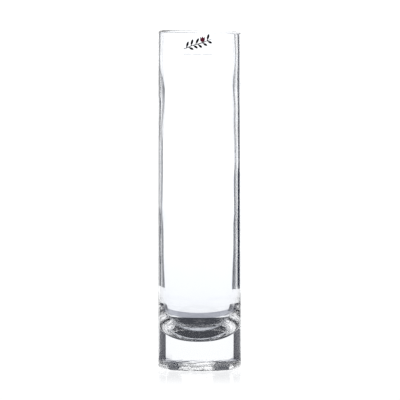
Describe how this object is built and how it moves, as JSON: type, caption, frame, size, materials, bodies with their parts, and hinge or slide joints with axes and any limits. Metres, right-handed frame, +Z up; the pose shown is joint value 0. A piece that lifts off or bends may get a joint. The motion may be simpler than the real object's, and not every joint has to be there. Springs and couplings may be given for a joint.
{
  "type": "glass cylinder vase",
  "caption": "Tall slim cylinder vase in clear glass with a thick solid base, an open top and a small clear printed sticker under the rim.",
  "frame": {"origin": "centre of the underside, where the vase rests on a table", "axes": "+Z up along the vase to its open rim; -Y is the front, where the sticker is; +X is to the right seen from the front"},
  "size_m": [0.0616, 0.0622, 0.2504],
  "materials": {
    "clear_glass": "polished clear",
    "clear_film": "clear gloss",
    "dark_ink": "printed satin",
    "red_ink": "printed satin",
    "grey_ink": "printed satin"
  },
  "bodies": {
    "root": {"glass_body": "clear_glass", "label_film": "clear_film", "label_sprig_print": "dark_ink", "label_bud_print": "red_ink", "label_rule_left": "grey_ink", "label_rule_middle": "grey_ink", "label_rule_right": "grey_ink"}
  },
  "joints": []
}
